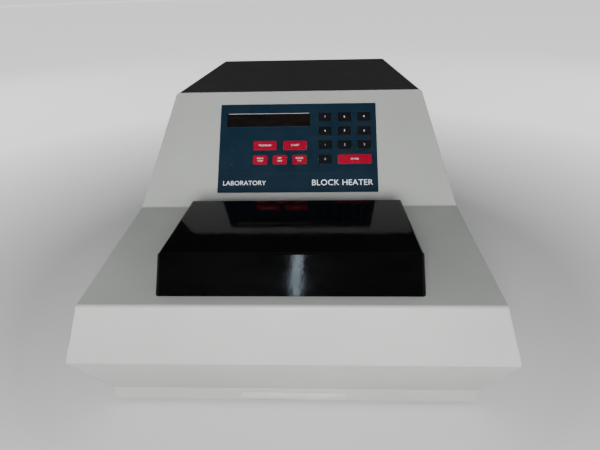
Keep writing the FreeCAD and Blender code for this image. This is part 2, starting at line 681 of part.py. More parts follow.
def make_inlet():
    """An appliance inlet with a fuse drawer below it, on one moulded flange."""
    flange = slab("inlet_flange", ("inlet_x - 17", "inlet_x + 17"), ("back", "back + rear_flange"),
                  ("inlet_z - 28", "inlet_z + 28"))
    housing = slab("inlet_housing", ("inlet_x - 13.7", "inlet_x + 13.7"), ("back - 24", "back"),
                   ("inlet_z - 23.7", "inlet_z + 23.7"))
    socket = slab("socket_recess", ("inlet_x - 12", "inlet_x + 12"), ("back - 15", "back + 5"),
                  ("inlet_z + 2", "inlet_z + 19"))
    bay = slab("drawer_bay", ("inlet_x - 11", "inlet_x + 11"), ("back - 21", "back + 5"),
               ("inlet_z - 21", "inlet_z - 5"))
    keep(cut("power_inlet", join("inlet_solid", [flange, housing]), [socket, bay]), "power_inlet")
    pins = [slab("inlet_pin", ("inlet_x %s - 1" % x, "inlet_x %s + 1" % x),
                 ("back - 15", "back - 3"), ("inlet_z %s - 2" % z, "inlet_z %s + 2" % z))
            for x, z in (("- 7", "+ 8.5"), ("+ 0", "+ 12.5"), ("+ 7", "+ 8.5"))]
    keep(group("inlet_pins", pins), "inlet_pins")
    tray = slab("drawer_tray", ("inlet_x - 10.6", "inlet_x + 10.6"), ("back - 20", "back + 1.6"),
                ("inlet_z - 20.6", "inlet_z - 5.4"))
    hollow_out = slab("drawer_hollow", ("inlet_x - 9", "inlet_x + 9"), ("back - 18", "back - 4"),
                      ("inlet_z - 18.6", "inlet_z"))
    grip = slab("drawer_grip", ("inlet_x - 5", "inlet_x + 5"), ("back + 0.4", "back + 5"),
                ("inlet_z - 9", "inlet_z"))
    keep(cut("fuse_drawer", tray, [hollow_out, grip]), "fuse_drawer")
    fuses = [rod("fuse", "2.5", "17", ("inlet_x - 8.5", y, "inlet_z - 16"), "x")
             for y in ("back - 14", "back - 8")]
    keep(group("fuses", fuses), "fuses")


def make_switch():
    flange = slab("switch_flange", ("switch_x - 11.5", "switch_x + 11.5"),
                  ("back", "back + rear_flange - 0.6"), ("inlet_z - 15.5", "inlet_z + 15.5"))
    housing = slab("switch_housing", ("switch_x - 9.5", "switch_x + 9.5"), ("back - 20", "back"),
                   ("inlet_z - 13.5", "inlet_z + 13.5"))
    recess = slab("switch_recess", ("switch_x - 7.5", "switch_x + 7.5"), ("back - 10", "back + 5"),
                  ("inlet_z - 11.5", "inlet_z + 11.5"))
    keep(cut("switch_housing", join("switch_solid", [flange, housing]), [recess]), "switch_housing")
    corners = [("back - 6", "inlet_z - 6"), ("back - 6", "inlet_z + 6"),
               ("back + 0.2", "inlet_z + 10.6"), ("back - 1.4", "inlet_z"),
               ("back + 0.2", "inlet_z - 10.6")]
    rocker = pad_outline("rocker", "YZ_Plane", corners, "rocker_width", "switch_x", midplane=True)
    pivot = rod("rocker_pivot", "rocker_pivot_radius", "rocker_width + 0.6",
                ("switch_x - rocker_width / 2 - 0.3", "back - rocker_axis", "inlet_z"), "x")
    keep(join("rocker_with_pivot", [rocker, pivot]), "power_rocker")


def make_reset():
    bush = cut("reset_bush", join("bush_solid", [
        rod("bush_barrel", "4", "14", ("reset_x", "back - 14", "inlet_z"), "y"),
        rod("bush_nut", "6.4", "1.4", ("reset_x", "back", "inlet_z"), "y")]),
        [rod("bush_bore", "2.5", "30", ("reset_x", "back - 12", "inlet_z"), "y")])
    keep(bush, "reset_bush")
    button = rod("reset_button", "2.1", "11.6", ("reset_x", "back - 9.8", "inlet_z"), "y")
    keep(button, "reset_button")


def make_fan():
    back_of_fan = "back - wall"
    frame = box("fan_block", ("fan_size", "fan_depth", "fan_size"),
                ("fan_x - fan_size / 2", back_of_fan + " - fan_depth", "fan_z - fan_size / 2"))
    duct = rod("fan_duct", "fan_size / 2 - 2", "fan_depth + 2",
               ("fan_x", back_of_fan + " - fan_depth - 1", "fan_z"), "y")
    ring = cut("fan_ring", frame, [duct])
    struts = [
        slab("strut", ("fan_x - fan_size / 2 + 1", "fan_x + fan_size / 2 - 1"),
             (back_of_fan + " - 4", back_of_fan), ("fan_z - 2.5", "fan_z + 2.5")),
        slab("strut", ("fan_x - 2.5", "fan_x + 2.5"), (back_of_fan + " - 4", back_of_fan),
             ("fan_z - fan_size / 2 + 1", "fan_z + fan_size / 2 - 1")),
        rod("motor_seat", "hub_radius", "4", ("fan_x", back_of_fan + " - 4", "fan_z"), "y")]
    keep(join("fan_frame", [ring] + struts), "fan_frame")
    hub = rod("fan_hub", "hub_radius", "17", ("fan_x", back_of_fan + " - 22", "fan_z"), "y")
    blades = []
    for index in range(BLADE_COUNT):
        blade = doc.addObject("Part::Box", "blade")
        bind(blade, {"Length": "22", "Width": "13", "Height": "1.6"})
        spin = FreeCAD.Rotation(FreeCAD.Vector(0, 1, 0), index * 360 / BLADE_COUNT)
        pitch = FreeCAD.Rotation(FreeCAD.Vector(1, 0, 0), 32)
        centre = FreeCAD.Vector(value("fan_x"), value(back_of_fan + " - 19"), value("fan_z"))
        blade.Placement = FreeCAD.Placement(centre, spin).multiply(
            FreeCAD.Placement(FreeCAD.Vector(13, 0, -3), pitch))
        blades.append(blade)
    keep(join("fan_rotor", [hub] + blades), "fan_rotor")
    make_fan_guard()


def make_fan_guard():
    wires = []
    for radius in GUARD_RADII:
        wire = doc.addObject("Part::Torus", "guard_ring")
        bind(wire, {"Radius1": radius, "Radius2": "guard_wire"})
        wires.append(place(wire, "fan_x", "back + 1", "fan_z",
                           rotation=FreeCAD.Rotation(FreeCAD.Vector(1, 0, 0), 90)))
    wires.append(rod("guard_bar", "0.9", "80", ("fan_x - 40", "back + 1", "fan_z"), "x"))
    wires.append(rod("guard_bar", "0.9", "80", ("fan_x", "back + 1", "fan_z - 40"), "z"))
    keep(join("fan_guard", wires), "fan_guard")


def check_and_write():
    doc.recompute()
    for obj in doc.Objects:
        if "Invalid" in obj.State or "Error" in obj.State:
            raise RuntimeError("%s failed: %s" % (obj.Label, obj.State))
    os.makedirs("parts", exist_ok=True)
    for node, obj in nodes.items():
        shape = obj.Shape
        if shape.isNull() or not shape.isValid() or shape.Volume < 1:
            raise RuntimeError(node + " has no valid solid")
        shape.exportStep("parts/%s.step" % node)
        print("%-22s %9.1f mm3, %d solids" % (node, shape.Volume, len(shape.Solids)))


fill_sheet()
make_base_tray()
make_front_console()
make_rear_hood()
make_feet_and_screws()
make_label_strip()
make_chassis_plate()
make_chamber()
make_tube_block("tube_block_left", -1)
make_tube_block("tube_block_right", 1)
make_lid()
make_hinges()
make_keypad()
make_electronics()
make_inlet()
make_switch()
make_reset()
make_fan()
check_and_write()
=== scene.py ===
import json
import math

import bmesh
import bpy
from mathutils import Matrix, Vector


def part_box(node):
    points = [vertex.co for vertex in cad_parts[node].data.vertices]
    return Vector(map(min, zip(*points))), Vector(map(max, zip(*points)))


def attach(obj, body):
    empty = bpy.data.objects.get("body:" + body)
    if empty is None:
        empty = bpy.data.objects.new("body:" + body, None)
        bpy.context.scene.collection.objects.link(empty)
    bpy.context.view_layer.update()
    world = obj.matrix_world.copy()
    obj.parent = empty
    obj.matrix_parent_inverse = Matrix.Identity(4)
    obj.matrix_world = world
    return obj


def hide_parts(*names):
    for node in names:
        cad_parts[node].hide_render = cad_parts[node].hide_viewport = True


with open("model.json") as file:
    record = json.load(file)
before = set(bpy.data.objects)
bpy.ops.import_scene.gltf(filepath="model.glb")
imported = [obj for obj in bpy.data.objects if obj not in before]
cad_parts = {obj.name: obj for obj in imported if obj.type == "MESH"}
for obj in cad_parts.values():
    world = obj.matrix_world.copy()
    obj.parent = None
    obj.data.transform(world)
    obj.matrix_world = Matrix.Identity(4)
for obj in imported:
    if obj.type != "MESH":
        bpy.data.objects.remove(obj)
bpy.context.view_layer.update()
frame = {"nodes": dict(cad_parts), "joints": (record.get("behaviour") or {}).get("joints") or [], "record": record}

bl_info = {
    "name": "Dry Block Heater",
    "version": (1, 0, 0),
    "blender": (4, 5, 0),
    "location": "View3D > Sidebar > Block Heater",
    "description": "Models and finishes the visible pieces of a bench dry block heater",
    "category": "Object",
}

MM = 0.001
HAIR = 0.02 * MM                      # how far print stands off the surface under it
WELD = 0.002 * MM                     # points closer than this are one point
LEVEL_GAP = 0.05 * MM                 # heights closer than this are one level
FILM_CORNER = 0.6 * MM                # corner of the keypad film and of the window
THINNING = 0.008                      # how much each letter is thinned, per height
LUG_PLACE = 60 * MM                   # middle of a hinge lug, either side of the lid's middle

DIGIT_KEYS = ("7", "8", "9", "4", "5", "6", "1", "2", "3", "0")
WORD_KEYS = {
    "upper_left": ("PROGRAM",), "upper_right": ("START",),
    "lower_left": ("HOLD", "TEMP"), "lower_middle": ("SET", "TIME"),
    "lower_right": ("BLOCK", "OFF"),
    "enter": ("ENTER",),
}


# ------------------------------------------------------------------ reading the frame

def joint(name):
    return next(item for item in frame["joints"] if item["name"] == name)


PANEL_IN = Vector(joint("press_5")["axis"])
PANEL_OUT = -PANEL_IN
PANEL_UP = Vector((0, PANEL_OUT.z, -PANEL_OUT.y))
PANEL_TILT = math.atan2(PANEL_UP.z, PANEL_UP.y)


def reach(node, direction):
    """Lowest and highest place of a node's points along a direction."""
    along = [vertex.co.dot(direction) for vertex in frame["nodes"][node].data.vertices]
    return min(along), max(along)


def panel_box(node):
    """A node's corners in the panel's own axes: across, up the slope, outwards."""
    ranges = [reach(node, axis) for axis in (Vector((1, 0, 0)), PANEL_UP, PANEL_OUT)]
    return Vector(low for low, high in ranges), Vector(high for low, high in ranges)


def farthest(node, direction):
    return max((vertex.co for vertex in frame["nodes"][node].data.vertices),
               key=lambda place: place.dot(Vector(direction)))


# ------------------------------------------------------------------ settings

def length_property(name, description, default):
    return bpy.props.FloatProperty(
        name=name, description=description, default=default, unit="LENGTH")


def colour_property(name, description, default):
    return bpy.props.FloatVectorProperty(
        name=name, description=description, default=default, size=3, min=0, max=1,
        subtype="COLOR")


class HeaterSizes(bpy.types.PropertyGroup):
    """Sizes of the softened edges, print and grooves"""
    case_edge: length_property("Case Edge", "Rounding of the painted case edges", 1.1 * MM)
    seam_edge: length_property("Seam Edge", "Rounding where two case shells meet", 0.25 * MM)
    roof_corner: length_property(
        "Roof Corner", "Rounding of the hood's long roof edges", 3.5 * MM)
    lid_round: length_property("Lid Rounding", "Rounding of the lid's side edges", 3.0 * MM)
    lid_wall: length_property("Lid Wall", "Thickness of the lid", 2.5 * MM)
    key_corner: length_property("Key Corner", "Corner radius of the keys", 1.3 * MM)
    key_groove: length_property(
        "Key Groove", "Gap round each key in the keypad film", 0.22 * MM)
    digit_size: length_property("Digit Size", "Height of the digits on the keys", 3.1 * MM)
    word_size: length_property("Word Size", "Height of the words on the keys", 2.3 * MM)


class HeaterColours(bpy.types.PropertyGroup):
    """Colours of the painted, moulded and printed surfaces"""
    case_grey: colour_property("Case Grey", "Textured enamel of the case", (0.28, 0.29, 0.275))
    hood_black: colour_property(
        "Hood Black", "Satin enamel of the rear hood", (0.022, 0.022, 0.023))
    lid_black: colour_property("Lid Black", "Polished lid", (0.0012, 0.0012, 0.0012))
    film_blue: colour_property("Film Blue", "Keypad film", (0.0035, 0.0125, 0.023))
    key_red: colour_property("Key Red", "Function keys", (0.22, 0.0012, 0.015))
    key_black: colour_property("Key Black", "Digit keys", (0.003, 0.0035, 0.005))
    print_white: colour_property("Print White", "Printed marks", (0.72, 0.76, 0.80))


def sizes():
    return bpy.context.scene.heater_sizes


def colours():
    return bpy.context.scene.heater_colours


# ------------------------------------------------------------------ finishes

def shade(colour, factor):
    return tuple(min(1.0, channel * factor) for channel in colour)


class Finish:
    """A material whose colour, roughness and bump all come from patterns on Object coordinates."""

    def __init__(self, name, metallic=0.0, **sockets):
        self.material = bpy.data.materials.new(name)
        self.material.use_nodes = True
        self.tree = self.material.node_tree
        self.shader = self.tree.nodes["Principled BSDF"]
        self.shader.inputs["Metallic"].default_value = metallic
        for socket, setting in sockets.items():
            self.shader.inputs[socket.replace("_", " ")].default_value = setting
        self.place = self.tree.nodes.new("ShaderNodeTexCoord").outputs["Object"]
        self.normal = None

    def node(self, kind, inputs=None, **settings):
        made = self.tree.nodes.new(kind)
        for name, setting in settings.items():
            setattr(made, name, setting)
        for name, source in (inputs or {}).items():
            socket = made.inputs[name]
            if isinstance(source, bpy.types.NodeSocket):
                self.tree.links.new(source, socket)
            else:
                socket.default_value = source
        return made

    def stretched(self, scale, turn=(0, 0, 0)):
        return self.node("ShaderNodeMapping", {"Vector": self.place, "Scale": scale,
                                               "Rotation": turn}).outputs["Vector"]

    def noise(self, scale, detail=4.0, place=None):
        return self.node("ShaderNodeTexNoise", {
            "Vector": place or self.place, "Scale": scale, "Detail": detail,
            "Roughness": 0.55}).outputs["Fac"]

    def cells(self, scale):
        return self.node("ShaderNodeTexVoronoi", {
            "Vector": self.place, "Scale": scale}).outputs["Distance"]

    def ramp(self, factor, low, high, start=0.0, end=1.0):
        return self.node("ShaderNodeMapRange", {
            "Value": factor, "From Min": low, "From Max": high, "To Min": start,
            "To Max": end}).outputs["Result"]

    def tint(self, factor, dark, light):
        mixed = self.node("ShaderNodeMix", {"Factor": factor}, data_type="RGBA")
        mixed.inputs["A"].default_value = (*dark, 1)
        mixed.inputs["B"].default_value = (*light, 1)
        return mixed.outputs["Result"]

    def over(self, factor, below, colour):
        mixed = self.node("ShaderNodeMix", {"Factor": factor}, data_type="RGBA")
        self.tree.links.new(below, mixed.inputs["A"])
        mixed.inputs["B"].default_value = (*colour, 1)
        return mixed.outputs["Result"]

    def faded(self, factor, strength):
        return self.node("ShaderNodeMath", {0: factor, 1: strength},
                         operation="MULTIPLY").outputs["Value"]

    def colour(self, source):
        self.tree.links.new(source, self.shader.inputs["Base Color"])
        return self

    def roughness(self, factor, start, end, low=0.3, high=0.7):
        self.tree.links.new(self.ramp(factor, low, high, start, end),
                            self.shader.inputs["Roughness"])
        return self

    def bump(self, height, distance, strength=1.0):
        made = self.node("ShaderNodeBump", {"Height": height, "Distance": distance,
                                            "Strength": strength})
        if self.normal:
            self.tree.links.new(self.normal, made.inputs["Normal"])
        self.normal = made.outputs["Normal"]
        self.tree.links.new(self.normal, self.shader.inputs["Normal"])
        return self


def painted(name, colour, grain, rough=(0.42, 0.55), depth=0.06 * MM):
    """Sprayed enamel with a fine orange-peel grain, slight mottling and rubbed patches."""
    made = Finish(name, Specular_IOR_Level=0.42)
    broad = made.noise(9, 5)
    fine = made.noise(grain, 3)
    blend = made.tint(made.ramp(broad, 0.3, 0.7), shade(colour, 0.93), shade(colour, 1.05))
    specks = made.ramp(made.noise(grain * 1.7, 2), 0.66, 0.78)
    made.colour(made.over(made.faded(specks, 0.22), blend, shade(colour, 0.78)))
    made.roughness(made.noise(30, 6), *rough)
    made.bump(fine, depth, 0.55)
    made.bump(made.cells(grain * 0.8), depth, 0.25)
    return made.material


def polished(name, colour, rough=(0.035, 0.09)):
    """Press-polished plastic: faint flow in the surface, dust and wiping marks in the gloss."""
    made = Finish(name, Specular_IOR_Level=0.1, IOR=1.45)
    wipes = made.noise(22, 7, made.stretched((1.0, 3.2, 1.0), (0, 0, 0.5)))
    dust = made.ramp(made.noise(900, 2), 0.70, 0.80)
    base = made.tint(made.ramp(wipes, 0.35, 0.7), colour, shade(colour, 1.8))
    made.colour(made.over(made.faded(dust, 0.10), base, (0.04, 0.04, 0.04)))
    made.roughness(wipes, *rough)
    made.bump(made.noise(5, 2), 0.5 * MM, 0.10)
    made.bump(made.noise(90, 3), 0.2 * MM, 0.2)
    return made.material


def moulded(name, colour, rough=(0.38, 0.52), grain=1500, depth=0.03 * MM, gloss=0.45):
    """Moulded plastic with a spark-eroded grain."""
    made = Finish(name, Specular_IOR_Level=gloss)
    made.colour(made.tint(made.ramp(made.noise(60, 5), 0.3, 0.7), shade(colour, 0.85),
                          shade(colour, 1.15)))
    made.roughness(made.noise(140, 4), *rough)
    made.bump(made.noise(grain, 3), depth, 0.5)
    return made.material


def film(name, colour):
    """Printed polyester film with a fine velvet texture and slight handling marks."""
    made = Finish(name, Specular_IOR_Level=0.15)
    blotch = made.noise(18, 6)
    made.colour(made.tint(made.ramp(blotch, 0.3, 0.72), shade(colour, 0.88), shade(colour, 1.14)))
    made.roughness(made.noise(70, 5), 0.34, 0.5)
    made.bump(made.noise(2600, 2), 0.012 * MM, 0.5)
    return made.material


def brushed(name, colour, along=(1, 0, 0), rough=(0.24, 0.42)):
    """Metal with a fine lay in one direction and a few deeper scratches."""
    made = Finish(name, metallic=1.0)
    lay = tuple(18 if step else 900 for step in along)
    lines = made.noise(1.0, 3, made.stretched(lay))
    stains = made.noise(26, 6)
    made.colour(made.tint(made.ramp(stains, 0.3, 0.7), shade(colour, 0.86), shade(colour, 1.06)))
    made.roughness(lines, *rough)
    made.bump(lines, 0.02 * MM, 0.5)
    return made.material


def machined(name, colour):
    """Milled and anodised aluminium: overlapping cutter marks under a satin skin."""
    made = Finish(name, metallic=1.0)
    rings = made.node("ShaderNodeTexWave", {"Vector": made.place, "Scale": 260.0,
                                            "Distortion": 1.5, "Detail": 2.0},
                      wave_type="RINGS", rings_direction="Z").outputs["Fac"]
    wear = made.noise(40, 6)
    made.colour(made.tint(made.ramp(wear, 0.3, 0.72), shade(colour, 0.82), colour))
    made.roughness(wear, 0.28, 0.46)
    made.bump(rings, 0.012 * MM, 0.5)
    made.bump(made.noise(1300, 2), 0.01 * MM, 0.4)
    return made.material


def fibre(name, colour):
    """Pressed mineral fibre: matted strands and small pits."""
    made = Finish(name, Specular_IOR_Level=0.15)
    strands = made.noise(160, 8, made.stretched((1, 4, 2), (0.3, 0.2, 0.7)))
    made.colour(made.tint(made.ramp(strands, 0.3, 0.7), shade(colour, 0.72), shade(colour, 1.05)))
    made.roughness(strands, 0.85, 0.97)
    made.bump(strands, 0.5 * MM, 0.7)
    return made.material


def foam(name, colour):
    """Closed-cell foam with small open cells where it was cut."""
    made = Finish(name, Specular_IOR_Level=0.2)
    cells = made.cells(900)
    made.colour(made.tint(made.ramp(cells, 0.1, 0.7), shade(colour, 0.5), shade(colour, 1.2)))
    made.roughness(made.noise(80, 4), 0.78, 0.92)
    made.bump(cells, 0.25 * MM, 0.6)
    return made.material


def rubber(name, colour):
    """Moulded rubber with a dusty bloom."""
    made = Finish(name, Specular_IOR_Level=0.25)
    bloom = made.noise(75, 6)
    made.colour(made.tint(made.ramp(bloom, 0.35, 0.75), colour, shade(colour, 2.2)))
    made.roughness(bloom, 0.62, 0.85)
    made.bump(made.noise(1100, 3), 0.04 * MM, 0.5)
    return made.material


def circuit(name, colour):
    """Solder resist over copper: a raised maze of tracks and tinned pads."""
    made = Finish(name, Specular_IOR_Level=0.5)
    tracks = made.node("ShaderNodeTexBrick", {
        "Vector": made.stretched((1, 1, 1), (PANEL_TILT, 0, 0)), "Scale": 90.0,
        "Mortar Size": 0.035, "Brick Width": 0.9, "Row Height": 0.32}).outputs["Fac"]
    pads = made.ramp(made.cells(230), 0.12, 0.16, 1.0, 0.0)
    base = made.over(tracks, made.tint(made.noise(40), colour, shade(colour, 1.3)),
                     shade(colour, 1.9))
    made.colour(made.over(pads, base, (0.62, 0.62, 0.60)))
    made.roughness(made.noise(60), 0.25, 0.4)
    made.bump(tracks, 0.04 * MM, 0.6)
    return made.material


def smoked(name, colour):
    """Smoked acrylic window: deep, glossy and slightly scuffed."""
    made = Finish(name, Specular_IOR_Level=0.3, IOR=1.49)
    scuff = made.noise(60, 7, made.stretched((1, 5, 5)))
    made.colour(made.tint(made.ramp(scuff, 0.35, 0.7), colour, shade(colour, 1.7)))
    made.roughness(scuff, 0.14, 0.24)
    made.bump(made.noise(12, 2), 0.2 * MM, 0.08)
    return made.material


def lens(name, colour):
    """Clear tinted lens of an unlit lamp."""
    made = Finish(name, Specular_IOR_Level=0.5, Transmission_Weight=0.35, IOR=1.45)
    made.colour(made.tint(made.noise(300), shade(colour, 0.8), colour))
    made.roughness(made.noise(500), 0.12, 0.25)
    return made.material


def make_finishes():
    paint = colours()
    return {
        "grey_paint": painted("case_enamel", paint.case_grey, 1150),
        "black_paint": painted("hood_enamel", paint.hood_black, 1400, (0.37, 0.43), 0.04 * MM),
        "lid_gloss": polished("polished_lid", paint.lid_black),
        "foam": foam("lid_foam", (0.05, 0.05, 0.055)),
        "overlay_film": film("blue_keypad_film", paint.film_blue),
        "key_black": film("black_key_film", paint.key_black),
        "key_red": film("red_key_film", paint.key_red),
        "print": film("white_print", paint.print_white),
        "faint_print": film("faint_print", (0.012, 0.016, 0.028)),
        "smoked_window": smoked("smoked_acrylic", (0.004, 0.003, 0.0025)),
        # Painted highlight: pale polished grey for the strip along the display window's top edge.
        "window_highlight_strip": polished("window_highlight_strip", (0.30, 0.31, 0.31)),
        "indicator": lens("lamp_lens", (0.02, 0.045, 0.035)),
        "circuit_board": circuit("green_solder_resist", (0.012, 0.10, 0.035)),
        "block_metal": machined("milled_aluminium", (0.80, 0.81, 0.82)),
        "sheet_steel": brushed("plated_sheet", (0.62, 0.62, 0.61)),
        "bright_steel": brushed("bright_nickel", (0.78, 0.77, 0.74), (0, 0, 1), (0.12, 0.24)),
        "insulation": fibre("mineral_fibre", (0.78, 0.75, 0.66)),
        "silicone": rubber("orange_silicone", (0.42, 0.12, 0.03)),
        "rubber": rubber("foot_rubber", (0.018, 0.018, 0.018)),
        "black_plastic": moulded("black_moulding", (0.018, 0.018, 0.019)),
        "red_plastic": moulded("red_button_moulding", (0.45, 0.02, 0.015), gloss=0.6),
        "fuse_glass": lens("fuse_glass", (0.7, 0.78, 0.76)),
        "ribbon": moulded("ribbon_jacket", (0.36, 0.36, 0.37), grain=700, depth=0.06 * MM),
        "label_film": film("blank_label_film", (0.33, 0.34, 0.32)),
    }


finishes = {}


# ------------------------------------------------------------------ modelling tools

def deselect():
    if bpy.context.object and bpy.context.object.mode != "OBJECT":
        bpy.ops.object.mode_set(mode="OBJECT")
    bpy.ops.object.select_all(action="DESELECT")


def activate(piece):
    deselect()
    piece.select_set(True)
    bpy.context.view_layer.objects.active = piece


def bake_place(piece):
    """Move the object's place, turn and scale into its mesh."""
    activate(piece)
    bpy.ops.object.transform_apply(location=True, rotation=True, scale=True)
    return piece


def add_box(name, low, high):
    low, high = Vector(low), Vector(high)
    deselect()
    bpy.ops.mesh.primitive_cube_add(size=1, location=(low + high) / 2, scale=high - low)
    piece = bpy.context.object
    piece.name = name
    return bake_place(piece)


def add_rod(name, radius, start, end, sides=48):
    start, end = Vector(start), Vector(end)
    deselect()
    bpy.ops.mesh.primitive_cylinder_add(
        vertices=sides, radius=radius, depth=(end - start).length, location=(start + end) / 2,
        rotation=(end - start).to_track_quat("Z", "Y").to_euler())
    piece = bpy.context.object
    piece.name = name
    return bake_place(piece)


def select_parts(piece, kind, test):
    """Open the mesh and select the vertices, edges or faces that pass a test."""
    activate(piece)
    bpy.ops.object.mode_set(mode="EDIT")
    bpy.ops.mesh.select_mode(type=kind)
    bpy.ops.mesh.select_all(action="DESELECT")
    mesh = bmesh.from_edit_mesh(piece.data)
    group = {"VERT": mesh.verts, "EDGE": mesh.edges, "FACE": mesh.faces}[kind]
    group.ensure_lookup_table()
    for part in group:
        if test(part):
            part.select_set(True)
    mesh.select_flush_mode()
    bmesh.update_edit_mesh(piece.data)


def close_mesh():
    bpy.ops.object.mode_set(mode="OBJECT")


def bevel(piece, width, segments, test):
    select_parts(piece, "EDGE", test)
    bpy.ops.mesh.bevel(offset=width, segments=segments, affect="EDGES", clamp_overlap=False)
    close_mesh()
    return piece


def edge_way(edge):
    return (edge.verts[1].co - edge.verts[0].co).normalized()


def edge_middle(edge):
    return (edge.verts[1].co + edge.verts[0].co) / 2


def lies_along(edge, direction):
    return abs(edge_way(edge).dot(Vector(direction))) > 0.99


def modify(piece, kind, **settings):
    activate(piece)
    modifier = piece.modifiers.new(kind.lower(), kind)
    for name, setting in settings.items():
        setattr(modifier, name, setting)
    bpy.ops.object.modifier_apply(modifier=modifier.name)
    return piece


def carve(piece, cutters):
    """Cut away the cutters, joined into one, and remove them."""
    cutter = merge("cutter", cutters)
    modify(piece, "BOOLEAN", object=cutter, operation="DIFFERENCE", solver="EXACT")
    bpy.data.objects.remove(cutter)
    return piece


def merge(name, pieces):
    activate(pieces[0])
    for piece in pieces[1:]:
        piece.select_set(True)
    if len(pieces) > 1:
        bpy.ops.object.join()
    pieces[0].name = name
    return pieces[0]


def copy_of(piece, name):
    copied = bpy.data.objects.new(name, piece.data.copy())
    bpy.context.scene.collection.objects.link(copied)
    return copied


def onto_panel(piece):
    """Turn a piece made in the panel's own axes into the frame's axes."""
    bake_place(piece)
    piece.rotation_euler = (PANEL_TILT, 0, 0)
    return bake_place(piece)


def finished(piece, body, slot, replaces=(), angle=32):
    """Smooth the piece, give it its finish and let it ride on its body."""
    bake_place(piece)
    bpy.ops.object.shade_smooth_by_angle(angle=math.radians(angle))
    modify(piece, "WEIGHTED_NORMAL", keep_sharp=True, weight=100)
    if not piece.data.materials:
        piece.data.materials.append(finishes[slot])
    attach(piece, body)
    if replaces:
        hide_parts(*replaces)
    return piece


def paint_slots(piece, names):
    piece.data.materials.clear()
    for name in names:
        piece.data.materials.append(finishes[name])
    return piece


def softened(node, width, segments=3, angle=25, shortest=1.5 * MM, fine=None, fine_width=None,
             before=None):
    """A copy of a node with merged faces and its long convex edges rounded.
    Edges that pass the fine test get the smaller width instead, and before, if given,
    shapes the copy first."""
    piece = copy_of(frame["nodes"][node], node + "_shell")
    piece.data.materials.clear()
    activate(piece)
    if piece.data.has_custom_normals:
        bpy.ops.mesh.customdata_custom_splitnormals_clear()
    bpy.ops.object.mode_set(mode="EDIT")
    bpy.ops.mesh.select_all(action="SELECT")
    bpy.ops.mesh.remove_doubles(threshold=WELD)
    bpy.ops.mesh.dissolve_limited(angle_limit=math.radians(0.8))
    close_mesh()
    if before:
        before(piece)

    def sharp(edge):
        return (edge.is_convex and len(edge.link_faces) == 2 and edge.calc_length() > shortest
                and edge.calc_face_angle(0) > math.radians(angle))

    if fine:
        bevel(piece, fine_width, 2, lambda edge: sharp(edge) and fine(edge))
        bevel(piece, width, segments, lambda edge: sharp(edge) and not fine(edge)
              and edge.calc_face_angle(0) > math.radians(angle + 8))
    else:
        bevel(piece, width, segments, sharp)
    return piece


# ------------------------------------------------------------------ housing

class HEATER_OT_housing(bpy.types.Operator):
    """Round and paint the tray, the front console and the rear hood"""
    bl_idname = "heater.housing"
    bl_label = "Housing"

    def execute(self, context):
        size = sizes()
        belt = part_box("base_tray")[1].z
        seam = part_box("front_console")[1].y

        def near_seam(edge):
            middle = edge_middle(edge)
            return abs(middle.z - belt) < 0.5 * MM or abs(middle.y - seam) < 0.6 * MM

        for node, slot in (("base_tray", "grey_paint"), ("front_console", "grey_paint"),
                           ("rear_hood", "black_paint")):
            piece = softened(node, size.case_edge, fine=near_seam, fine_width=size.seam_edge,
                             before=self.round_roof)
            finished(piece, "case", slot, [node], angle=24)
        return {"FINISHED"}

    def round_roof(self, piece):
        """Round the hood's roof edges, and the console's corners where they meet the hood."""
        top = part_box("rear_hood")[1].z
        roof = max(abs(vertex.co.x) for vertex in frame["nodes"]["front_console"].data.vertices
                   if vertex.co.z > top - LEVEL_GAP)
        radius = sizes().roof_corner
        if piece.name.startswith("rear_hood"):
            bevel(piece, radius, 5, lambda edge: edge_middle(edge).z > top - LEVEL_GAP
                  and edge.calc_length() > 100 * MM and abs(edge_way(edge).x) < 0.5)
        if piece.name.startswith("front_console"):
            select_parts(piece, "VERT", lambda vertex: vertex.co.z > top - LEVEL_GAP
                         and abs(vertex.co.x) > roof - LEVEL_GAP)
            bpy.ops.mesh.bevel(offset=radius, segments=5, affect="VERTICES", clamp_overlap=False)
            close_mesh()


class HEATER_OT_label(bpy.types.Operator):
    """Stick the blank label to the plinth, with rounded corners"""
    bl_idname = "heater.label"
    bl_label = "Blank Label"

    def execute(self, context):
        low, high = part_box("blank_label")
        plate = add_box("plinth_label", low, high)
        bevel(plate, 1.2 * MM, 5, lambda edge: lies_along(edge, (0, 1, 0)))
        finished(plate, "case", "label_film", ["blank_label"])
        return {"FINISHED"}


# ------------------------------------------------------------------ lid

